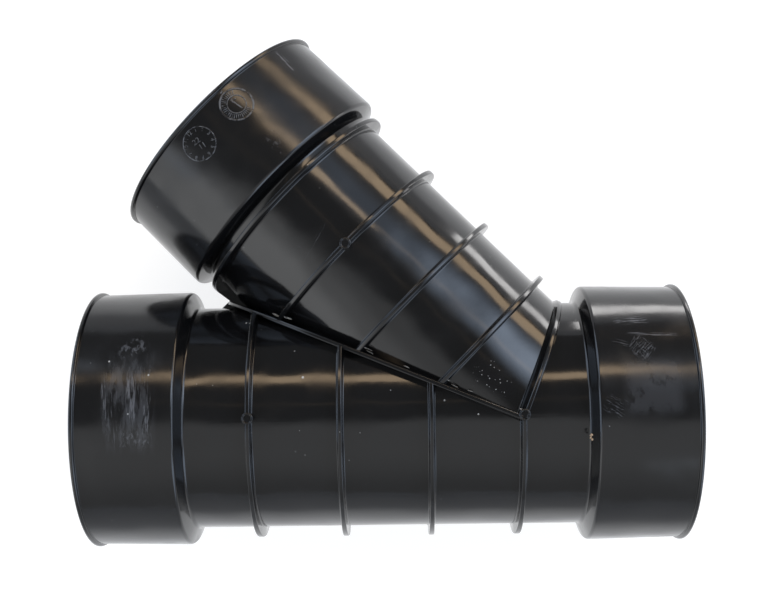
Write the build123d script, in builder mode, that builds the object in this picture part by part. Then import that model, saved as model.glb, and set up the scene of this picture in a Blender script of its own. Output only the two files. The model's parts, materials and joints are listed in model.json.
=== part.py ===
"""Lateral wye fitting: a branch moulded at 45 degrees onto a straight run, with a bell socket at each
of its three mouths and thin stiffening ribs round its barrels. It is one moulding, lying flat on its
three rims: +X runs towards the outlet, the branch leans back towards -X and +Y, and +Z is up.
Millimetres; the origin is under the middle of the fitting's box."""

import os
from math import cos, radians, sin, tan

from build123d import *

# Legs, from the point where the two axes cross to each mouth
branch_angle = 45.0
inlet_leg = 207.0
outlet_leg = 82.3
branch_leg = 207.0

# Barrels
barrel_radius = 55.0
barrel_wall = 3.0

# Bell sockets
socket_radius = 59.3
socket_depth = 44.0
socket_wall = 3.1
stop_wall = 3.5
bell_taper = 0.8
shoulder_length = 3.0
shoulder_bevel = 1.4
lead_in = 1.2

# Bead round each mouth
rim_width = 2.2
rim_height = 1.4
rim_bevel = 0.7

# Ribs round the barrels, spread evenly from the first, near the crossing, to one that stands a gap
# short of the bell's shoulder; the run's first rib goes on into the web behind the branch
rib_height = 5.1
rib_tip = 2.0
rib_root = 2.5
run_rib_start = 0.9
run_rib_gap = 30.8
run_rib_count = 4
branch_rib_start = 36.4
branch_rib_gap = 5.2
branch_rib_count = 4

# Webs on the seam between the run and the branch, and the gusset that fills their narrow crotch
web_height = 5.8
web_thickness = 2.5
front_web_reach = 10.0
back_web_reach = 1.8
gusset_thickness = 2.6
gusset_run_length = 13.8
gusset_branch_length = 18.5

# Round pads where the moulding was fed and pushed out
pad_diameter = 6.2
pad_height = 0.5
pad_branch_rib = 2

# Worked out from the sizes above
bore_radius = barrel_radius - barrel_wall
bell_length = socket_depth + stop_wall
bell_mouth_radius = socket_radius + socket_wall
bell_back_radius = bell_mouth_radius + bell_taper
rim_radius = bell_mouth_radius + rim_height
rib_radius = barrel_radius + rib_height
run_rib_end = inlet_leg - bell_length - shoulder_length - run_rib_gap
run_rib_pitch = (run_rib_end + run_rib_start) / (run_rib_count - 1)
branch_rib_end = branch_leg - bell_length - shoulder_length - branch_rib_gap
branch_rib_pitch = (branch_rib_end - branch_rib_start) / (branch_rib_count - 1)
web_radius = barrel_radius + web_height
lean = radians(branch_angle)
front_seam = radians(180 - branch_angle / 2)
back_seam = radians(90 - branch_angle / 2)
front_crotch = barrel_radius / sin(lean / 2)
back_crotch = barrel_radius / cos(lean / 2)

# The crossing of the axes, set so that the box stands centred on the origin
branch_top = max(
    branch_leg * sin(lean) + (rim_radius - rim_bevel) * cos(lean),
    (branch_leg - rim_bevel) * sin(lean) + rim_radius * cos(lean),
)
crossing = Vector((inlet_leg - outlet_leg) / 2, (rim_radius - branch_top) / 2, rim_radius)


def level_plane(angle):
    """The plane of the axes, with its X axis turned to the angle."""
    return Plane(crossing, x_dir=(cos(angle), sin(angle), 0), z_dir=(0, 0, 1))


def seam_plane(angle):
    """The upright plane of a seam, with its X axis level at the angle and its Y axis up."""
    direction = (cos(angle), sin(angle), 0)
    return Plane(crossing, x_dir=direction, z_dir=(sin(angle), -cos(angle), 0))


def bell_corners(mouth):
    """A bell's outside from the barrel to the middle of its mouth, as (along, radius)."""
    back = mouth - bell_length
    return [
        (back - shoulder_length, barrel_radius),
        (back, bell_back_radius - shoulder_bevel),
        (back + shoulder_bevel, bell_back_radius),
        (mouth - rim_width, bell_mouth_radius),
        (mouth - rim_width, rim_radius - rim_bevel),
        (mouth - rim_width + rim_bevel, rim_radius),
        (mouth - rim_bevel, rim_radius),
        (mouth, rim_radius - rim_bevel),
        (mouth, 0),
    ]


def socket_corners(mouth):
    """A bell's inside from the barrel's bore to the middle of its mouth."""
    stop = mouth - socket_depth
    return [
        (stop, bore_radius),
        (stop, socket_radius),
        (mouth - lead_in, socket_radius),
        (mouth, socket_radius + lead_in / 2),
        (mouth, 0),
    ]


def rib_corners(place):
    """A rib's section, a little thinner at its tip."""
    return [
        (place - rib_root / 2, barrel_radius),
        (place - rib_tip / 2, rib_radius),
        (place + rib_tip / 2, rib_radius),
        (place + rib_root / 2, barrel_radius),
    ]


def turned_round(corners):
    """The same corners on the other side of the crossing, in running order."""
    return [(-along, radius) for along, radius in reversed(corners)]


def half_section(plane, corners):
    """The face inside an outline of corners, drawn from the plane's X axis outwards."""
    with BuildSketch(plane) as section:
        with BuildLine():
            Polyline(*corners, close=True)
        make_face()
    return section.sketch


run_plane = level_plane(0)
run_axis = Axis(crossing, run_plane.x_dir)
branch_plane = level_plane(radians(180) - lean)
branch_axis = Axis(crossing, branch_plane.x_dir)
front_seam_plane = seam_plane(front_seam)
back_seam_plane = seam_plane(back_seam)

run_ribs = []
for index in reversed(range(run_rib_count)):
    run_ribs += rib_corners(run_rib_start - index * run_rib_pitch)

branch_ribs = []
for index in range(branch_rib_count):
    branch_ribs += rib_corners(branch_rib_start + index * branch_rib_pitch)

# The quarter of space that the branch fills, between the two seam planes
with BuildPart() as branch_quarter:
    with BuildSketch(level_plane(back_seam)):
        reach = inlet_leg + branch_leg
        Rectangle(reach, reach, align=(Align.MIN, Align.MIN))
    extrude(amount=reach, both=True)

# Outside of each barrel, with its bells and ribs, cut back to its own side of the seams
run_outline = turned_round(bell_corners(inlet_leg)) + run_ribs + bell_corners(outlet_leg)
with BuildPart() as run_outside:
    revolve(half_section(run_plane, run_outline), axis=run_axis)
    add(branch_quarter.part, mode=Mode.SUBTRACT)

branch_start = [(0, 0), (0, barrel_radius)]
branch_outline = branch_start + branch_ribs + bell_corners(branch_leg)
with BuildPart() as branch_outside:
    revolve(half_section(branch_plane, branch_outline), axis=branch_axis)
    add(branch_quarter.part, mode=Mode.INTERSECT)

# Inside of each barrel, cut the same way
run_bore_outline = turned_round(socket_corners(inlet_leg)) + socket_corners(outlet_leg)
with BuildPart() as run_bore:
    revolve(half_section(run_plane, run_bore_outline), axis=run_axis)
    add(branch_quarter.part, mode=Mode.SUBTRACT)

bore_start = [(0, 0), (0, bore_radius)]
branch_bore_outline = bore_start + socket_corners(branch_leg)
with BuildPart() as branch_bore:
    revolve(half_section(branch_plane, branch_bore_outline), axis=branch_axis)
    add(branch_quarter.part, mode=Mode.INTERSECT)

# Webs that stand on the seams, on the run's side of each seam plane; the front one starts a little
# way past the crossing, so that the two join there
with BuildPart() as front_web:
    with BuildSketch(front_seam_plane):
        Ellipse(front_crotch + front_web_reach, web_radius)
        with Locations((-web_thickness, 0)):
            Rectangle(reach, reach, align=(Align.MIN, Align.CENTER), mode=Mode.INTERSECT)
    extrude(amount=-web_thickness)

with BuildPart() as back_web:
    with BuildSketch(back_seam_plane):
        Ellipse(web_radius, back_crotch + back_web_reach, rotation=90)
        Rectangle(reach, reach, align=(Align.MIN, Align.CENTER), mode=Mode.INTERSECT)
    extrude(amount=web_thickness)

# Gusset between the barrels in their narrow crotch, its height on the branch that of the last rib
web_end = front_crotch + front_web_reach
crotch_length = barrel_radius / tan(lean / 2)
with BuildPart() as gusset:
    with BuildSketch(run_plane):
        on_run = (-crotch_length - gusset_run_length, barrel_radius)
        at_web = (web_end * cos(front_seam), web_end * sin(front_seam))
        on_branch = crotch_length + gusset_branch_length
        at_rib = (
            -on_branch * cos(lean) - rib_radius * sin(lean),
            on_branch * sin(lean) - rib_radius * cos(lean),
        )
        behind_rib = (-on_branch * cos(lean), on_branch * sin(lean))
        with BuildLine():
            Polyline((0, 0), on_run, at_web, at_rib, behind_rib, close=True)
        make_face()
    extrude(amount=gusset_thickness / 2, both=True)

# Pads on the first rib of the run, on the branch and where the webs meet, from inside the wall outwards
pad_rib = branch_rib_start + pad_branch_rib * branch_rib_pitch
pad_places = [
    (-run_rib_end, 0),
    (-pad_rib * cos(lean), pad_rib * sin(lean)),
    (run_rib_start, 0),
]
with BuildPart() as pads:
    with BuildSketch(run_plane.offset(barrel_radius - barrel_wall / 2)):
        with Locations(*pad_places):
            Circle(pad_diameter / 2)
    extrude(amount=barrel_wall / 2 + rib_height + pad_height)

with BuildPart() as fitting:
    add(run_outside.part)
    add(branch_outside.part)
    add(front_web.part)
    add(back_web.part)
    add(gusset.part)
    add(pads.part)
    add(run_bore.part, mode=Mode.SUBTRACT)
    add(branch_bore.part, mode=Mode.SUBTRACT)

fitting.part.label = "wye_fitting"
os.makedirs("parts", exist_ok=True)
export_step(fitting.part, "parts/wye_fitting.step")
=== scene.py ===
"""Looks of the lateral wye fitting: glossy black moulded plastic, its mould dials, scuffs and crumbs
of flash, on a pale studio floor. Metres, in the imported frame: the fitting lies flat, +X towards its
outlet, the branch towards -X and +Y, +Z up."""

import json
import math
import random

import bmesh
import bpy
from mathutils import Matrix, Vector


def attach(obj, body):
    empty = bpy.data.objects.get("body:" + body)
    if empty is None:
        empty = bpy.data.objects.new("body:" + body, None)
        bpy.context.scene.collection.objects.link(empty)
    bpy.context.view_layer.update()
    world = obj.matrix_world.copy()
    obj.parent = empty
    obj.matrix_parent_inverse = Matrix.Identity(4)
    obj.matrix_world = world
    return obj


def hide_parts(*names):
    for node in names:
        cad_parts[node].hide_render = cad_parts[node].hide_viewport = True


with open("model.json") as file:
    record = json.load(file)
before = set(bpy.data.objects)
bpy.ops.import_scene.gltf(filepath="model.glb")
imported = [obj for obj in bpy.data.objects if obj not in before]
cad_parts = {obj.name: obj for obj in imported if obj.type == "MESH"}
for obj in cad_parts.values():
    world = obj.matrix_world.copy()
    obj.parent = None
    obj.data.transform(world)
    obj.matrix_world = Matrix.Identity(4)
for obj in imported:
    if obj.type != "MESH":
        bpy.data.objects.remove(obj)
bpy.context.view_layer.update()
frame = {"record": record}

MM = 0.001
SOCKETS = {mount["name"]: mount for mount in frame["record"]["mounts"]}
RUN = Vector(SOCKETS["run_outlet_socket"]["axis"])
BRANCH = Vector(SOCKETS["branch_socket"]["axis"])
UP = Vector((0, 0, 1))


def axes_crossing():
    """Where the run's axis and the branch's axis cross."""
    on_run = Vector(SOCKETS["run_outlet_socket"]["pos_m"])
    on_branch = Vector(SOCKETS["branch_socket"]["pos_m"])
    along = (on_branch.y - on_run.y) / BRANCH.y
    return on_branch - along * BRANCH


CROSSING = axes_crossing()

# ---- sizes of the moulding, in millimetres ------------------------------------------------------

INLET_LEG = 207.0
OUTLET_LEG = 82.3
BRANCH_LEG = 207.0
BARREL = 55.0
BORE = 52.0
SOCKET = 59.3
SOCKET_DEPTH = 44.0
BELL_LENGTH = 47.5
BELL_MOUTH = 62.4
BELL_BACK = 63.2
RIM = 63.70
RIM_WIDTH = 2.2
LEAD_IN = 1.2
SHOULDER = 3.0
RIB = 60.1
RIB_ROOT = 2.5
RIB_TIP = 2.0
RIB_SWELL = 0.45
RUN_RIBS = [0.9, -41.3, -83.5, -125.7]
BRANCH_RIBS = [36.4, 74.7, 113.0, 151.3]
WEB = 60.8
# The branch leans at 45 degrees, so the seams between the barrels stand at half that
HALF_LEAN = math.radians(22.5)
FRONT_SEAM = math.pi - HALF_LEAN
BACK_SEAM = math.pi / 2 - HALF_LEAN
FRONT_CROTCH = BARREL / math.sin(HALF_LEAN)
BACK_CROTCH = BARREL / math.cos(HALF_LEAN)
FRONT_REACH = 10.0
BACK_REACH = 1.8
GUSSET = 2.6
GUSSET_PAST_CROTCH = 13.8
SLIVER = 0.02
TURN_STEPS = 192
PAD_STEPS = 40
RING_STEPS = 72


# ---- camera -------------------------------------------------------------------------------------

CAMERA_PLACE = (-53.74, 10.25, 597.98)  # millimetres from the crossing
CAMERA_TURN = (("X", 0.0798), ("Y", 0.0138), ("Z", -0.0158))  # radians from straight down


def add_camera():
    """Looks down on the fitting from almost straight above its middle."""
    camera_data = bpy.data.cameras.new("camera")
    camera_data.lens = 54.73
    camera_data.sensor_width = 36.0
    camera = bpy.data.objects.new("camera", camera_data)
    bpy.context.scene.collection.objects.link(camera)
    pose = Matrix.Translation(CROSSING + Vector(CAMERA_PLACE) * MM)
    for axis, angle in CAMERA_TURN:
        pose = pose @ Matrix.Rotation(angle, 4, axis)
    camera.matrix_world = pose
    bpy.context.scene.camera = camera


add_camera()


# ---- shader building ----------------------------------------------------------------------------

class Value:
    """A shader socket that adds Math nodes when it is used in arithmetic."""

    def __init__(self, tree, socket):
        self.tree = tree
        self.socket = socket

    def math(self, operation, *others):
        node = self.tree.nodes.new("ShaderNodeMath")
        node.operation = operation
        for socket, value in zip(node.inputs, (self, *others)):
            if isinstance(value, Value):
                self.tree.links.new(value.socket, socket)
            else:
                socket.default_value = value
        return Value(self.tree, node.outputs[0])

    def __add__(self, other):
        return self.math("ADD", other)

    __radd__ = __add__

    def __mul__(self, other):
        return self.math("MULTIPLY", other)

    __rmul__ = __mul__

    def __sub__(self, other):
        return self.math("SUBTRACT", other)

    def __rsub__(self, other):
        return -self + other

    def __neg__(self):
        return self * -1

    def at_least(self, other):
        return self.math("MAXIMUM", other)

    def at_most(self, other):
        return self.math("MINIMUM", other)

    def size(self):
        return self.math("ABSOLUTE")

    def ramp(self, low, high):
        """0 below low, 1 above high and smooth between; low may be the larger."""
        node = self.tree.nodes.new("ShaderNodeMapRange")
        node.interpolation_type = "SMOOTHSTEP"
        flip = low > high
        settings = {"From Min": min(low, high), "From Max": max(low, high), "To Min": float(flip),
                    "To Max": float(not flip)}
        for name, number in settings.items():
            node.inputs[name].default_value = number
        self.tree.links.new(self.socket, node.inputs["Value"])
        return Value(self.tree, node.outputs["Result"])


class Shader:
    """One material's or world's nodes."""

    def __init__(self, holder):
        holder.use_nodes = True
        self.tree = holder.node_tree
        self.tree.nodes.clear()

    def node(self, kind, settings=None, output=0, **inputs):
        """A node of a kind, its settings made first, then its sockets; gives one output.

        A socket is named by its label, with _ for a space, or by n and its number."""
        node = self.tree.nodes.new("ShaderNode" + kind)
        for name, value in (settings or {}).items():
            setattr(node, name, value)
        for name, value in inputs.items():
            key = int(name[1:]) if name[0] == "n" and name[1:].isdigit() else name.replace("_", " ")
            socket = node.inputs[key]
            if isinstance(value, Value):
                self.tree.links.new(value.socket, socket)
            else:
                socket.default_value = value
        return Value(self.tree, node.outputs[output])

    def split(self, vector):
        """The three numbers of a vector."""
        node = self.tree.nodes.new("ShaderNodeSeparateXYZ")
        self.tree.links.new(vector.socket, node.inputs[0])
        return [Value(self.tree, output) for output in node.outputs]

    def noise(self, vector, scale, detail=3.0, roughness=0.5):
        return self.node("TexNoise", Vector=vector, Scale=scale, Detail=detail, Roughness=roughness)

    def mix(self, factor, first, second):
        """One colour fading into another."""
        return self.node("Mix", {"data_type": "RGBA"}, output=2, n0=factor, n6=first, n7=second)

    def finish(self, surface, kind="Material"):
        node = self.tree.nodes.new("ShaderNodeOutput" + kind)
        self.tree.links.new(surface.socket, node.inputs["Surface"])


# ---- moulding in mesh ---------------------------------------------------------------------------

def wire(edit, corners):
    """A closed wire through (along, radius, rounding) corners, each rounded off by its cut-back."""
    points = [edit.verts.new((along * MM, radius * MM, 0)) for along, radius, _ in corners]
    for pair in zip(points, points[1:] + points[:1]):
        edit.edges.new(pair)
    for rounding in sorted({corner[2] for corner in corners if corner[2]}):
        chosen = [point for point, corner in zip(points, corners) if corner[2] == rounding]
        bmesh.ops.bevel(edit, geom=chosen, offset=rounding * MM, offset_type="OFFSET", segments=4,
                        profile=0.5, affect="VERTICES", material=-1, clamp_overlap=False)


def spin(edit, steps, angle=math.tau, axis=(1, 0, 0)):
    """Spins all of a bmesh about an axis through the origin; a full turn closes on itself."""
    bmesh.ops.spin(edit, geom=edit.verts[:] + edit.edges[:], cent=(0, 0, 0), axis=axis,
                   dvec=(0, 0, 0), angle=angle, steps=steps, use_merge=angle == math.tau)


def turn_about(edit, axis, angle):
    """Turns all of a bmesh about an axis through the origin."""
    bmesh.ops.rotate(edit, cent=(0, 0, 0), matrix=Matrix.Rotation(angle, 3, axis), verts=edit.verts)


def join(edit, part):
    """Adds one bmesh to another."""
    mesh = bpy.data.meshes.new("part")
    part.to_mesh(mesh)
    part.free()
    edit.from_mesh(mesh)
    bpy.data.meshes.remove(mesh)


def seat(along, side=None):
    """Takes a piece drawn along X, with Y level and Z up, to its axis through the crossing."""
    side = side or UP.cross(along)
    turn = Matrix((along, side, along.cross(side))).transposed().to_4x4()
    return Matrix.Translation(CROSSING) @ turn


def finished(edit, name):
    """Ends a bmesh as a linked object, with its faces outwards."""
    bmesh.ops.remove_doubles(edit, verts=edit.verts, dist=1e-7)
    bmesh.ops.recalc_face_normals(edit, faces=edit.faces)
    mesh = bpy.data.meshes.new(name)
    edit.to_mesh(mesh)
    edit.free()
    piece = bpy.data.objects.new(name, mesh)
    bpy.context.scene.collection.objects.link(piece)
    return piece


def turned(name, corners, along, ribs=()):
    """A solid of revolution about an axis through the crossing, its ribs swollen."""
    edit = bmesh.new()
    wire(edit, corners)
    spin(edit, TURN_STEPS)
    for place in ribs:
        swell_rib(edit, place)
    bmesh.ops.transform(edit, matrix=seat(along), verts=edit.verts)
    return finished(edit, name)


def bell_corners(mouth):
    """A bell's outside from the barrel to the middle of its mouth."""
    back = mouth - BELL_LENGTH
    return [
        (back - SHOULDER, BARREL, 1.3),
        (back, BELL_BACK, 1.3),
        (mouth - RIM_WIDTH, BELL_MOUTH, 0.4),
        (mouth - RIM_WIDTH, RIM, 1.05),
        (mouth, RIM, 1.05),
        (mouth, 0, 0),
    ]


def rib_corners(places):
    """Ribs standing on a barrel, each rounded at its tip and coved at its foot."""
    corners = []
    for place in places:
        corners += [
            (place - RIB_ROOT / 2, BARREL, 0.7),
            (place - RIB_TIP / 2, RIB, 0.5),
            (place + RIB_TIP / 2, RIB, 0.5),
            (place + RIB_ROOT / 2, BARREL, 0.7),
        ]
    return corners


def socket_corners(mouth):
    """A bell's inside, and on past its mouth."""
    stop = mouth - SOCKET_DEPTH
    return [
        (stop, BORE, 0.5),
        (stop, SOCKET, 1.0),
        (mouth - LEAD_IN, SOCKET, 0.3),
        (mouth + LEAD_IN, SOCKET + LEAD_IN, 0),
        (mouth + LEAD_IN, 0, 0),
    ]


def mirrored(corners):
    """The same corners on the other side of the crossing."""
    return [(-along, radius, rounding) for along, radius, rounding in reversed(corners)]


def swell_rib(edit, place):
    """Makes a rib a little thicker towards the parting plane, where the mould draws it from."""
    for vert in edit.verts:
        off = vert.co.x - place * MM
        radius = math.hypot(vert.co.y, vert.co.z)
        if abs(off) < (RIB_ROOT - 0.1) * MM and radius > (BARREL + SLIVER) * MM:
            level = 1 - abs(vert.co.z) / radius
            vert.co.x += off * RIB_SWELL * level ** 2


def fin(name, corners, seam, side, crotch, reach, start):
    """A web on a seam: its section spun from pole to pole, then drawn out along the seam. It goes
    from a start behind the crossing to a reach past the crotch, and its side is 1 or -1, for the
    turn from the seam to the side that it stands on."""
    edit = bmesh.new()
    wire(edit, corners)
    turn_about(edit, "X", -math.pi / 2)
    spin(edit, TURN_STEPS // 2, angle=math.pi)
    ends = [edge for edge in edit.edges if len(edge.link_faces) == 1]
    bmesh.ops.holes_fill(edit, edges=ends, sides=0)
    for vert in edit.verts:
        radius = math.hypot(vert.co.y, vert.co.z)
        width = crotch + (radius / MM - BARREL) * reach / (WEB - BARREL)
        vert.co.y *= width * MM / radius
        if vert.co.y < 1e-7:
            vert.co.y -= start * MM
    direction = Vector((math.cos(seam), math.sin(seam), 0))
    bmesh.ops.transform(edit, matrix=seat(side * UP.cross(direction), direction), verts=edit.verts)
    return finished(edit, name)


def pad_corners(top):
    """A round pad with a raised lip and a low middle, up to a level above the axes."""
    foot = BORE + 1
    return [
        (foot, 0, 0), (foot, 2.9, 0), (top, 2.7, 0.4), (top, 2.0, 0.15), (top - 0.4, 1.8, 0.1),
        (top - 0.2, 0, 0),
    ]


def pad(name, corners, along, out):
    """A small round pad standing up through the wall, at a distance out from the crossing."""
    edit = bmesh.new()
    wire(edit, corners)
    spin(edit, PAD_STEPS)
    upright = Matrix.Rotation(-math.pi / 2, 4, "Y")
    place = CROSSING + along * out * MM
    bmesh.ops.transform(edit, matrix=Matrix.Translation(place) @ upright, verts=edit.verts)
    return finished(edit, name)


def seam_quarter(name, overlap):
    """The quarter of space between the seams that the branch fills, grown by an overlap."""
    edit = bmesh.new()
    bmesh.ops.create_cube(edit, size=1)
    reach, depth = 0.5, 0.4
    bmesh.ops.scale(edit, vec=(reach, reach, depth), verts=edit.verts)
    shift = reach / 2 - overlap * MM
    bmesh.ops.translate(edit, vec=(shift, shift, 0), verts=edit.verts)
    turn_about(edit, "Z", BACK_SEAM)
    bmesh.ops.translate(edit, vec=CROSSING, verts=edit.verts)
    return finished(edit, name)


def gusset_plate(name):
    """The thin plate that fills the narrow crotch, in the plane of the axes."""
    crotch = BARREL / math.tan(HALF_LEAN)
    web_end = (FRONT_CROTCH + FRONT_REACH) * Vector((math.cos(FRONT_SEAM), math.sin(FRONT_SEAM), 0))
    branch_out = BRANCH * BRANCH_RIBS[-1]
    low = UP.cross(BRANCH) * RIB
    sunk = 0.4
    on_run = Vector((-crotch - GUSSET_PAST_CROTCH, BARREL - sunk, 0))
    corners = [Vector((0, 0, 0)), on_run, web_end, branch_out + low, branch_out]
    bottom = CROSSING - UP * GUSSET / 2 * MM
    edit = bmesh.new()
    face = edit.faces.new([edit.verts.new(bottom + corner * MM) for corner in corners])
    grown = bmesh.ops.extrude_face_region(edit, geom=[face])
    lifted = [item for item in grown["geom"] if isinstance(item, bmesh.types.BMVert)]
    bmesh.ops.translate(edit, vec=UP * GUSSET * MM, verts=lifted)
    bmesh.ops.recalc_face_normals(edit, faces=edit.faces)
    flat = [edge for edge in edit.edges if abs(edge.verts[0].co.z - edge.verts[1].co.z) < 1e-6]
    bmesh.ops.bevel(edit, geom=flat, offset=0.5 * MM, offset_type="OFFSET", segments=2, profile=0.5,
                    affect="EDGES", material=-1)
    return finished(edit, name)


def combine(piece, steps):
    """Changes a piece by its booleans, given as (operation, tool)."""
    for operation, tool in steps:
        change = piece.modifiers.new(tool.name, "BOOLEAN")
        change.operation = operation
        change.object = tool
        change.solver = "MANIFOLD"
    graph = bpy.context.evaluated_depsgraph_get()
    mesh = bpy.data.meshes.new_from_object(piece.evaluated_get(graph), depsgraph=graph)
    piece.modifiers.clear()
    piece.data = mesh


run_outline = (
    mirrored(bell_corners(INLET_LEG)) + mirrored(rib_corners([-place for place in RUN_RIBS]))
    + bell_corners(OUTLET_LEG)
)
branch_outline = [(-10, 0, 0), (-10, BARREL, 0)] + rib_corners(BRANCH_RIBS) + bell_corners(BRANCH_LEG)
# The core fills the run again under the branch, a sliver inside the barrel so that no faces coincide
core_outline = [(-150, 0, 0), (-150, BARREL - SLIVER, 0), (30, BARREL - SLIVER, 0), (30, 0, 0)]
run_bore_outline = mirrored(socket_corners(INLET_LEG)) + socket_corners(OUTLET_LEG)
branch_bore_outline = [(0, 0, 0), (0, BORE, 0)] + socket_corners(BRANCH_LEG)

# Section of each web, across the seam and out from the axes: foot, flank, tip, flank, foot
front_section = [
    (-0.6, 53, 0), (-0.6, 54.6, 0), (-0.1, 55.4, 0), (0.25, WEB, 0.5),
    (2.3, WEB, 0.5), (2.6, 55.6, 0), (3.3, 54.7, 0), (3.3, 53, 0),
]
back_section = [
    (-2.6, 53, 0), (-2.6, 54.8, 0), (-1.2, 55.8, 1.2), (0.5, WEB, 0.5),
    (2.4, WEB, 0.5), (2.6, 55.6, 0), (3.2, 54.7, 0), (3.2, 53, 0),
]

quarter = seam_quarter("seam_quarter", 1.4)
inner_quarter = seam_quarter("inner_quarter", 1.0)
moulding = turned("moulding", run_outline, RUN, RUN_RIBS)
branch = turned("branch_outside", branch_outline, BRANCH, BRANCH_RIBS)
core = turned("run_core", core_outline, RUN)
run_bore = turned("run_bore", run_bore_outline, RUN)
branch_bore = turned("branch_bore", branch_bore_outline, BRANCH)
front_web = fin("front_web", front_section, FRONT_SEAM, 1, FRONT_CROTCH, FRONT_REACH, 2.5)
back_web = fin("back_web", back_section, BACK_SEAM, -1, BACK_CROTCH, BACK_REACH, 0.6)
pads = [
    pad("run_pad", pad_corners(60.55), RUN, RUN_RIBS[-1]),
    pad("branch_pad", pad_corners(60.55), BRANCH, BRANCH_RIBS[2]),
    pad("junction_pad", pad_corners(61.0), RUN, 1.0),
]
gusset = gusset_plate("gusset")
combine(branch, [("INTERSECT", inner_quarter)])
added = [core, branch, front_web, back_web, gusset, *pads]
bores = [run_bore, branch_bore]
combine(moulding, [
    ("DIFFERENCE", quarter), *[("UNION", tool) for tool in added], *[("DIFFERENCE", tool) for tool in bores],
])
for tool in (quarter, inner_quarter, *added, *bores):
    bpy.data.objects.remove(tool)

moulding.data.shade_smooth()
moulding.data.set_sharp_from_angle(angle=math.radians(38))
weighted = moulding.modifiers.new("weighted", "WEIGHTED_NORMAL")
weighted.keep_sharp = True

# ---- black plastic ------------------------------------------------------------------------------

# Scuffed patches: centre, half size, turn in degrees, fineness of the streaks along and across, share
# bare, strength. Places are level distances from the crossing, in millimetres.
SCUFFS = [
    ((-180.0, 8.0), (14.0, 26.0), 0, (0.22, 0.06), 0.45, 0.16),
    ((-180.0, 6.0), (12.0, 20.0), 3, (1.3, 0.09), 0.53, 0.38),
    ((-178.5, 10.0), (2.8, 14.0), 2, (1.0, 0.12), 0.42, 0.45),
    ((-171.5, 2.0), (2.0, 12.0), -3, (1.2, 0.20), 0.45, 0.42),
    ((-191.0, 10.0), (1.5, 14.0), 3, (1.6, 0.14), 0.47, 0.45),
    ((-179.5, 33.5), (8.0, 5.0), 30, (0.35, 0.30), 0.48, 0.32),
    ((-176.5, -8.5), (9.0, 4.5), 0, (0.7, 0.35), 0.50, 0.36),
    ((53.0, 43.0), (9.5, 2.2), 4, (0.10, 1.6), 0.46, 0.45),
    ((62.0, 36.2), (13.0, 0.9), -2, (0.10, 1.4), 0.44, 0.36),
    ((56.0, 30.0), (5.0, 6.5), 50, (0.26, 1.5), 0.48, 0.36),
    ((56.5, 29.0), (4.5, 6.0), -42, (0.26, 1.5), 0.50, 0.32),
    ((46.5, 32.5), (5.0, 1.8), -14, (0.10, 1.6), 0.50, 0.32),
    ((42.0, 3.5), (6.0, 5.0), -28, (0.20, 1.4), 0.50, 0.34),
    ((60.0, 12.0), (16.0, 15.0), 0, (0.12, 0.10), 0.34, 0.11),
    ((60.0, 14.0), (9.0, 12.0), 80, (0.14, 1.1), 0.57, 0.18),
    ((-110.0, 172.5), (5.0, 1.2), -45, (0.12, 1.2), 0.44, 0.40),
    ((-106.0, 167.8), (3.4, 0.8), -45, (0.10, 1.0), 0.42, 0.40),
    ((-112.0, 128.0), (4.0, 9.0), 20, (0.3, 0.3), 0.52, 0.22),
    ((-94.0, 82.0), (12.0, 1.2), 60, (0.08, 1.6), 0.52, 0.22),
    ((-102.0, 80.0), (7.0, 5.0), -20, (0.12, 0.9), 0.58, 0.22),
]
# Dust and nicks: centre, radius and lightness
NICKS = [
    ((-100.7, 18.5), 0.55, 0.60), ((-35.2, 7.0), 0.40, 0.50), ((-19.8, 0.4), 0.38, 0.50),
    ((-129.6, 45.5), 0.45, 0.50), ((-128.0, 45.4), 0.30, 0.40), ((-14.3, 16.7), 0.30, 0.35),
    ((-7.7, 10.2), 0.25, 0.35), ((-189.8, 27.1), 0.40, 0.55), ((-170.9, 20.5), 0.40, 0.55),
    ((-179.6, 2.9), 0.35, 0.50), ((-105.0, 31.0), 0.30, 0.30), ((-60.0, 12.0), 0.25, 0.30),
]
SPECKS_CENTRE = (-13.0, 16.5)


class Plastic(Shader):
    """The shader of the black polyethylene, with the places on it measured from the crossing."""

    def __init__(self, material):
        super().__init__(material)
        spot = self.node("TexCoord", output="Object")
        centred = self.node("VectorMath", {"operation": "SUBTRACT"}, n0=spot, n1=CROSSING)
        self.spot = self.node("VectorMath", {"operation": "SCALE"}, n0=centred, Scale=1 / MM)
        self.x, self.y, self.z = self.split(self.spot)
        self.on_top = self.z.ramp(15.0, 25.0)

    def turned_place(self, centre, turn):
        """Level distances from a centre along and across a direction turned from X."""
        cos, sin = math.cos(math.radians(turn)), math.sin(math.radians(turn))
        across_x, across_y = self.x - centre[0], self.y - centre[1]
        return across_x * cos + across_y * sin, across_y * cos - across_x * sin

    def box_mask(self, along, across, half, soft):
        """1 in a box of half sizes and 0 outside, with a soft edge."""
        sides = [place.size().ramp(size, size * (1 - soft)) for place, size in zip((along, across), half)]
        return sides[0] * sides[1]

    def distance_squared(self, centre):
        """The level distance from a centre, squared."""
        off_x, off_y = self.x - centre[0], self.y - centre[1]
        return off_x * off_x + off_y * off_y

    def streaks(self, along, across, fineness, bare):
        """Uneven streaks: noise drawn out one way and cut off below its bare share."""
        flat = self.node("CombineXYZ", n0=along * fineness[0], n1=across * fineness[1], n2=0.0)
        return self.noise(flat, 1.0, 5.0, 0.62).ramp(bare, bare + 0.16)


def strongest(masks):
    """The strongest of some masks at each place."""
    most = masks[0]
    for mask in masks[1:]:
        most = most.at_least(mask)
    return most


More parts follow.
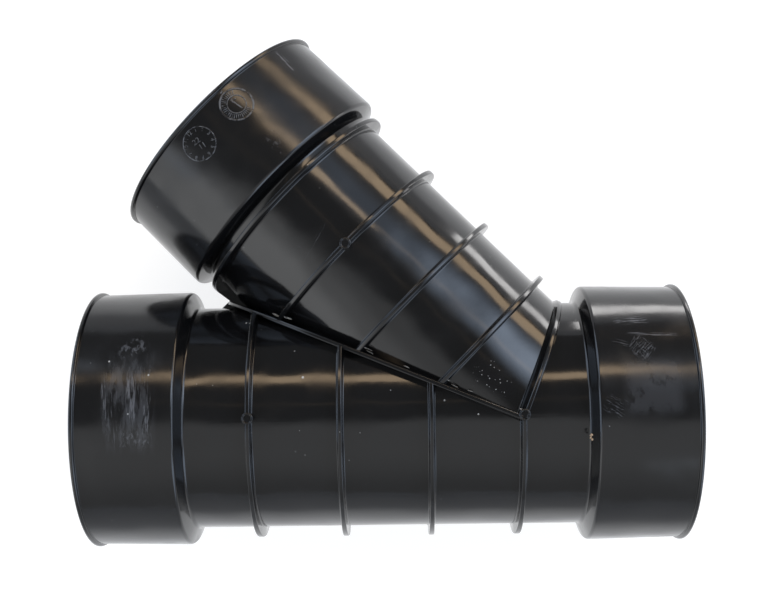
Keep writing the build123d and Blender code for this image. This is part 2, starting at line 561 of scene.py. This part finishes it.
def scuff_mask(shader):
    """Greyed scuffs in their patches on the upper side, and faint hairlines all over."""
    patches = []
    for centre, half, turn, fineness, bare, strength in SCUFFS:
        along, across = shader.turned_place(centre, turn)
        patch = shader.box_mask(along, across, half, 0.45) * shader.streaks(along, across, fineness, bare)
        patches.append(patch * strength)
    slant_x, slant_y = 0.8, 0.35
    along = shader.x * slant_x + shader.y * slant_y
    across = shader.y * slant_x - shader.x * slant_y
    hairlines = shader.streaks(along, across, (0.07, 1.6), 0.66)
    return (strongest(patches) * shader.on_top).at_least(hairlines * 0.10)


def light_mask(shader):
    """Nicks and a crowd of specks on the upper side, and dust all over."""
    nicks = []
    for centre, radius, lightness in NICKS:
        edge = radius * radius
        nicks.append(shader.distance_squared(centre).ramp(edge * 1.6, edge * 0.4) * lightness)
    cells = shader.node("TexVoronoi", {"feature": "F1"}, Vector=shader.spot, Scale=0.16)
    dusty = shader.noise(shader.spot, 0.02, 1.0).ramp(0.50, 0.60)
    dust = cells.ramp(0.045, 0.02) * dusty * 0.35
    crowd = shader.distance_squared(SPECKS_CENTRE).ramp(110.0, 25.0)
    specks = shader.node("TexVoronoi", {"feature": "F1"}, Vector=shader.spot, Scale=0.62)
    specks = specks.ramp(0.22, 0.12) * crowd * shader.on_top * 0.35
    return strongest([strongest(nicks) * shader.on_top, dust, specks])


def bell_mask(shader):
    """1 on the three bells."""
    along_branch = (shader.y - shader.x) * math.sqrt(0.5)
    long_leg, short_leg = (157.0, 161.0), (34.0, 38.0)
    return strongest([(-shader.x).ramp(*long_leg), shader.x.ramp(*short_leg), along_branch.ramp(*long_leg)])


def black_plastic():
    """Glossy black polyethylene, duller on the bells, scuffed where it has been handled."""
    material = bpy.data.materials.new("black_plastic")
    shader = Plastic(material)
    scuffs, light, bells = scuff_mask(shader), light_mask(shader), bell_mask(shader)
    smears = shader.noise(shader.spot, 0.045, 3.0, 0.55).ramp(0.45, 0.75)
    roughness = 0.115 + 0.045 * bells + 0.10 * smears + 0.30 * scuffs + 0.3 * light
    black = shader.mix(scuffs, (0.0042, 0.0042, 0.0045, 1), (0.17, 0.175, 0.19, 1))
    colour = shader.mix(light, black, (0.62, 0.62, 0.60, 1))
    waves = shader.noise(shader.spot, 0.016, 2.0, 0.45)
    peel = shader.noise(shader.spot, 0.30, 2.0, 0.5)
    relief = shader.node("Bump", Strength=1.0, Distance=0.00035, Height=waves * 6.0 + peel * 0.035)
    plastic = shader.node("BsdfPrincipled", Base_Color=colour, Roughness=roughness, Normal=relief)
    shader.finish(plastic)
    return material


plastic = black_plastic()


def dress(piece, material):
    """Gives a piece its one material, and its place on the fitting."""
    piece.data.materials.clear()
    piece.data.materials.append(material)
    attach(piece, "root")


dress(moulding, plastic)
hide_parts("wye_fitting")

# ---- mould dials on the branch's bell -----------------------------------------------------------

DIAL = 8.2
DIAL_SINK = 0.3


def pale_mark_plastic():
    """The same black, matt and greyed unevenly on the raised marks."""
    material = bpy.data.materials.new("pale_mark_plastic")
    shader = Plastic(material)
    # The raised marks are coloured a lighter, uneven grey.
    marks_grey = shader.noise(shader.spot, 0.5, 3.0).ramp(0.38, 0.62)
    colour = shader.mix(marks_grey, (0.012, 0.012, 0.013, 1), (0.085, 0.087, 0.092, 1))
    shader.finish(shader.node("BsdfPrincipled", Base_Color=colour, Roughness=0.26 + 0.16 * marks_grey))
    return material


marks_grey = pale_mark_plastic()


def wrap(edit, along, lean, name):
    """Lays a flat relief, drawn with X across, Y towards the mouth and Z out, onto the bell."""
    across = Vector((-BRANCH.y, BRANCH.x, 0)) * -1
    start = BRANCH_LEG - BELL_LENGTH
    for vert in edit.verts:
        x, y, height = vert.co / MM
        place = along + y
        taper = (BELL_MOUTH - BELL_BACK) / (BELL_LENGTH - RIM_WIDTH)
        radius = BELL_BACK + taper * (place - start) + height
        angle = math.radians(lean) + x / BELL_MOUTH
        out = across * math.sin(angle) + UP * math.cos(angle)
        vert.co = CROSSING + (BRANCH * place + out * radius) * MM
    piece = finished(edit, name)
    piece.data.shade_smooth()
    piece.data.set_sharp_from_angle(angle=math.radians(40))
    dress(piece, marks_grey)


def add_ring(edit, inner, outer, height):
    """A flat ring of rounded section, sunk a little in the bell."""
    ring = bmesh.new()
    wire(ring, [
        (inner, -DIAL_SINK, 0), (inner, height, 0.12), (outer, height, 0.12), (outer, -DIAL_SINK, 0),
    ])
    spin(ring, RING_STEPS, axis=(0, 1, 0))
    turn_about(ring, "X", math.pi / 2)
    join(edit, ring)


def add_bar(edit, centre, size, turn, height):
    """A small raised bar, its long side along X before its turn."""
    bar = bmesh.new()
    bmesh.ops.create_cube(bar, size=1)
    bmesh.ops.scale(bar, vec=(size[0] * MM, size[1] * MM, (height + DIAL_SINK) * MM), verts=bar.verts)
    bmesh.ops.translate(bar, vec=(0, 0, (height - DIAL_SINK) / 2 * MM), verts=bar.verts)
    top = [edge for edge in bar.edges if edge.verts[0].co.z > 0 and edge.verts[1].co.z > 0]
    bmesh.ops.bevel(bar, geom=top, offset=0.08 * MM, offset_type="OFFSET", segments=1, profile=0.5,
                    affect="EDGES", material=-1)
    turn_about(bar, "Z", turn)
    bmesh.ops.translate(bar, vec=(centre[0] * MM, centre[1] * MM, 0), verts=bar.verts)
    join(edit, bar)


def add_number(edit, words, height, centre, turn, lift):
    """A plain raised number, centred at a place."""
    curve = bpy.data.curves.new("number", "FONT")
    curve.body = words
    curve.size = height * 1.4 * MM
    curve.extrude = (lift + DIAL_SINK) / 2 * MM
    curve.align_x, curve.align_y = "CENTER", "CENTER"
    curve.resolution_u = 2
    holder = bpy.data.objects.new("number", curve)
    bpy.context.scene.collection.objects.link(holder)
    graph = bpy.context.evaluated_depsgraph_get()
    mesh = bpy.data.meshes.new_from_object(holder.evaluated_get(graph))
    place = Vector((*centre, (lift - DIAL_SINK) / 2)) * MM
    mesh.transform(Matrix.Translation(place) @ Matrix.Rotation(turn, 4, "Z"))
    edit.from_mesh(mesh)
    bpy.data.objects.remove(holder)
    bpy.data.curves.remove(curve)
    bpy.data.meshes.remove(mesh)


def around(radius, angle):
    """A place on a circle about the middle of a dial."""
    return (radius * math.cos(angle), radius * math.sin(angle))


def number_dial():
    """A dial of twelve numbers round a pair of two-figure numbers."""
    edit = bmesh.new()
    add_ring(edit, DIAL - 0.45, DIAL, 0.26)
    for hour in range(12):
        angle = math.radians(60 - 30 * hour)
        add_number(edit, str(hour + 1), 1.8, around(6.5, angle), angle - math.pi / 2, 0.32)
    add_number(edit, "22", 2.7, (-0.2, 1.8), math.radians(-12), 0.34)
    add_number(edit, "11", 2.7, (0.3, -1.9), math.radians(-12), 0.34)
    wrap(edit, 194.0, -12.8, "number_dial")


def arrow_dial():
    """A dial with a ring of fine marks round a disc that carries an arrow."""
    edit = bmesh.new()
    add_ring(edit, DIAL - 0.8, DIAL, 0.36)
    add_ring(edit, 4.2, 4.7, 0.26)
    marks = 40
    for mark in range(marks):
        angle = math.tau * mark / marks
        if math.cos(angle) <= 0.55:
            add_bar(edit, around(6.1, angle), (2.1, 0.36), angle, 0.28)
    shaft, barb_left, barb_right = -82, -125, -40
    add_bar(edit, (0, 0), (6.8, 0.6), math.radians(shaft), 0.34)
    add_bar(edit, (-0.1, 2.7), (2.2, 0.55), math.radians(barb_left), 0.34)
    add_bar(edit, (0.7, 2.8), (2.2, 0.55), math.radians(barb_right), 0.34)
    add_bar(edit, (-0.9, DIAL + 0.9), (1.6, 0.6), math.radians(20), 0.36)
    wrap(edit, 194.6, 10.5, "arrow_dial")


number_dial()
arrow_dial()

# ---- crumbs of flash and dirt -------------------------------------------------------------------

# Pale flakes of flash beside the narrow web: place from the crossing, then long and short side
FLAKES = [
    (-114.8, 48.9, 34.5, 4.6, 1.0), (-108.7, 47.1, 38.3, 3.4, 0.8), (-71.2, 31.7, 50.8, 5.6, 0.4),
    (-69.4, 29.8, 50.8, 3.4, 0.4), (-63.8, 24.6, 52.8, 4.6, 0.7), (-52.3, 22.6, 53.4, 3.0, 0.4),
    (-43.2, 15.9, 56.0, 3.0, 0.8), (-33.5, 16.2, 56.7, 2.0, 0.5), (-30.4, 13.4, 56.8, 4.0, 0.4),
    (-23.6, 11.1, 57.3, 2.6, 0.35), (-0.6, 2.4, 59.4, 1.6, 0.9),
]
# Grains of the crumb of dirt at the foot of the outlet's bell: place from the crossing, long side
GRAINS = [(30.6, -9.6, 62.3, 1.5), (30.3, -10.7, 62.0, 1.1), (31.0, -11.6, 61.8, 1.3)]


def flake(edit, centre, long, short, heading, rng):
    """One torn flake: a flattened, jittered ball."""
    ball = bmesh.new()
    bmesh.ops.create_icosphere(ball, subdivisions=2, radius=0.5)
    for vert in ball.verts:
        vert.co *= 1 + rng.uniform(-0.35, 0.35)
    bmesh.ops.scale(ball, vec=(long * MM, short * MM, short * 0.6 * MM), verts=ball.verts)
    turn_about(ball, "Z", heading)
    bmesh.ops.translate(ball, vec=centre, verts=ball.verts)
    join(edit, ball)


def crumb_material(name, dark, pale, grain):
    """A dry, torn surface of two close colours."""
    material = bpy.data.materials.new(name)
    shader = Plastic(material)
    uneven = shader.noise(shader.spot, grain, 3.0).ramp(0.35, 0.65)
    colour = shader.mix(uneven, (*dark, 1), (*pale, 1))
    roughness = 0.45 + 0.2 * uneven
    relief = shader.node("Bump", Strength=0.4, Distance=0.0002, Height=uneven)
    shader.finish(shader.node("BsdfPrincipled", Base_Color=colour, Roughness=roughness, Normal=relief))
    return material


def add_flakes():
    """The flakes of flash, each lying roughly along the narrow seam."""
    rng = random.Random(7)
    edit = bmesh.new()
    for x, y, z, long, short in FLAKES:
        heading = FRONT_SEAM + math.radians(rng.uniform(-9, 9))
        flake(edit, CROSSING + Vector((x, y, z)) * MM, long, short, heading, rng)
    flakes = finished(edit, "flash_flakes")
    dress(flakes, crumb_material("torn_flash", (0.03, 0.03, 0.028), (0.26, 0.245, 0.22), 1.6))


def add_dirt_crumb():
    """A crumb of dry dirt, of three grains."""
    rng = random.Random(3)
    edit = bmesh.new()
    for x, y, z, long in GRAINS:
        flake(edit, CROSSING + Vector((x, y, z)) * MM, long, long * 0.7, rng.uniform(0, 3), rng)
    crumb = finished(edit, "dirt_crumb")
    dress(crumb, crumb_material("dry_dirt", (0.20, 0.13, 0.07), (0.40, 0.29, 0.19), 3.0))


add_flakes()
add_dirt_crumb()

# ---- light --------------------------------------------------------------------------------------

def add_area(name, place, target, size, radiance, colour):
    """A soft rectangular lamp at a place, aimed at a target; both are offsets from the crossing."""
    lamp = bpy.data.lights.new(name, "AREA")
    lamp.shape = "RECTANGLE"
    lamp.size, lamp.size_y = size
    lamp.energy = radiance * math.pi * size[0] * size[1]
    lamp.color = colour
    holder = bpy.data.objects.new(name, lamp)
    bpy.context.scene.collection.objects.link(holder)
    start = CROSSING + Vector(place)
    aim = CROSSING + Vector(target) - start
    holder.matrix_world = Matrix.Translation(start) @ aim.to_track_quat("-Z", "Y").to_matrix().to_4x4()
    holder.visible_camera = False
    return holder


def sky(zenith, azimuth, distance):
    """A place at a distance, by its angles from straight up and from +X."""
    down, around_z = math.radians(zenith), math.radians(azimuth)
    level = distance * math.sin(down)
    return (level * math.cos(around_z), level * math.sin(around_z), distance * math.cos(down))


TAN = (1.0, 0.74, 0.48)
WHITE = (1.0, 0.98, 0.97)


def add_strip(name, zenith, azimuth, distance, width, length, radiance, colour, heading):
    """A strip light: its long side runs level along a heading, its face towards the crossing."""
    lamp = add_area(name, sky(zenith, azimuth, distance), (0, 0, 0), (length, width), radiance, colour)
    start = Vector(lamp.matrix_world.translation)
    back = (start - CROSSING).normalized()
    along = Vector((math.cos(math.radians(heading)), math.sin(math.radians(heading)), 0))
    along = (along - along.dot(back) * back).normalized()
    turn = Matrix((along, back.cross(along), back)).transposed().to_4x4()
    lamp.matrix_world = Matrix.Translation(start) @ turn


add_strip("ceiling_tube", 37.5, 92, 2.2, 0.26, 1.5, 5.5, TAN, 0)
add_strip("branch_tube", 76, 46, 2.0, 0.40, 1.6, 5.0, TAN, 135)
add_strip("branch_glow", 41, 47, 2.2, 0.14, 1.4, 0.9, TAN, 135)
add_strip("ceiling_edge", 14, 92, 2.2, 0.05, 1.5, 0.4, TAN, 0)
add_area("low_window", (0.105, 0.17, 0.010), (0.075, 0, 0.010), (0.11, 0.03), 7.0, WHITE)


def beyond_ends(along, across):
    """1 in the directions in which a barrel points, both ways."""
    return along.size().ramp(0.66, 0.80) * across.size().ramp(0.36, 0.22)


def studio_world():
    """A dim ceiling, soft light from the near side, the left and past the ends, and a blue-grey glow
    past the branch; all are smooth shares of the direction."""
    world = bpy.data.worlds.new("studio")
    bpy.context.scene.world = world
    shader = Shader(world)
    direction = shader.node("TexCoord", output="Generated")
    x, y, z = shader.split(direction)
    past_branch = (x + y) * math.sqrt(0.5)
    along_branch = (y - x) * math.sqrt(0.5)
    near = (-y - 0.4 * x * x).ramp(0.0, 0.15)
    left = 0.50 * (-x).ramp(0.30, 0.50) + 1.0 * (-x).ramp(0.52, 0.70)
    fade = 1.0 - 0.62 * z.ramp(0.84, 0.10)
    ends = beyond_ends(x, y).at_least(beyond_ends(along_branch, past_branch))
    soft = 0.19 + near * (0.66 * fade + left) + 2.4 * ends
    glow = past_branch.ramp(0.40, 0.72) * past_branch.ramp(0.98, 0.80)
    glow = glow * along_branch.size().ramp(0.42, 0.28)
    glow = glow * (0.35 + 0.55 * along_branch.ramp(0.30, 0.16) + 4.6 * along_branch.ramp(0.12, -0.10))
    pale, bluish = (0.97, 0.985, 1.0, 1), (0.72, 0.86, 1.08, 1)
    colour = shader.mix((glow + ends).at_most(1.0), pale, bluish)
    light = shader.node("VectorMath", {"operation": "SCALE"}, n0=colour, Scale=soft + glow)
    shader.finish(shader.node("Background", Color=light), "World")


studio_world()


def grey(share):
    """A neutral colour."""
    return (share, share, share, 1)


def floor_material():
    """Pale paper: plain to soft light; to camera and reflected rays it glows with a painted pool of light,
    white near the fitting and fading to grey outwards.
    """
    material = bpy.data.materials.new("pale_floor")
    shader = Shader(material)
    paths = shader.tree.nodes.new("ShaderNodeLightPath")
    camera, glossy, through = (
        Value(shader.tree, paths.outputs[ray])
        for ray in ("Is Camera Ray", "Is Glossy Ray", "Is Transmission Ray")
    )
    seen = camera.at_least(glossy).at_least(through)
    x, y, _ = shader.split(shader.node("TexCoord", output="Object"))
    # Painted pool of light: the floor's own glow is white near the fitting and fades to dark grey far out.
    white_x, white_y = 0.27, 0.215
    painted_falloff = (x * x * white_x ** -2 + y * y * white_y ** -2).ramp(1.0, 3.2)
    painted_light_pool = shader.node("Emission", Color=shader.mix(painted_falloff, grey(0.82), grey(0.28)))
    lit = shader.node("BsdfDiffuse", Color=grey(0.30))
    paper = shader.node("BsdfDiffuse", Color=grey(0.80))
    backdrop = shader.node("AddShader", n0=lit, n1=painted_light_pool)
    shader.finish(shader.node("MixShader", n0=seen, n1=paper, n2=backdrop))
    return material


def add_floor():
    """A wide pale floor that turns up gently at its edge."""
    edit = bmesh.new()
    bmesh.ops.create_circle(edit, cap_ends=True, cap_tris=False, segments=96, radius=3.0)
    rim = bmesh.ops.extrude_edge_only(edit, edges=[e for e in edit.edges if e.is_boundary])
    lip = [item for item in rim["geom"] if isinstance(item, bmesh.types.BMVert)]
    bmesh.ops.scale(edit, vec=(1.12, 1.12, 1), verts=lip)
    bmesh.ops.translate(edit, vec=(0, 0, 0.33), verts=lip)
    mesh = bpy.data.meshes.new("floor")
    edit.to_mesh(mesh)
    edit.free()
    floor = bpy.data.objects.new("floor", mesh)
    bpy.context.scene.collection.objects.link(floor)
    mesh.materials.append(floor_material())


add_floor()

bpy.context.scene.view_settings.view_transform = "Standard"
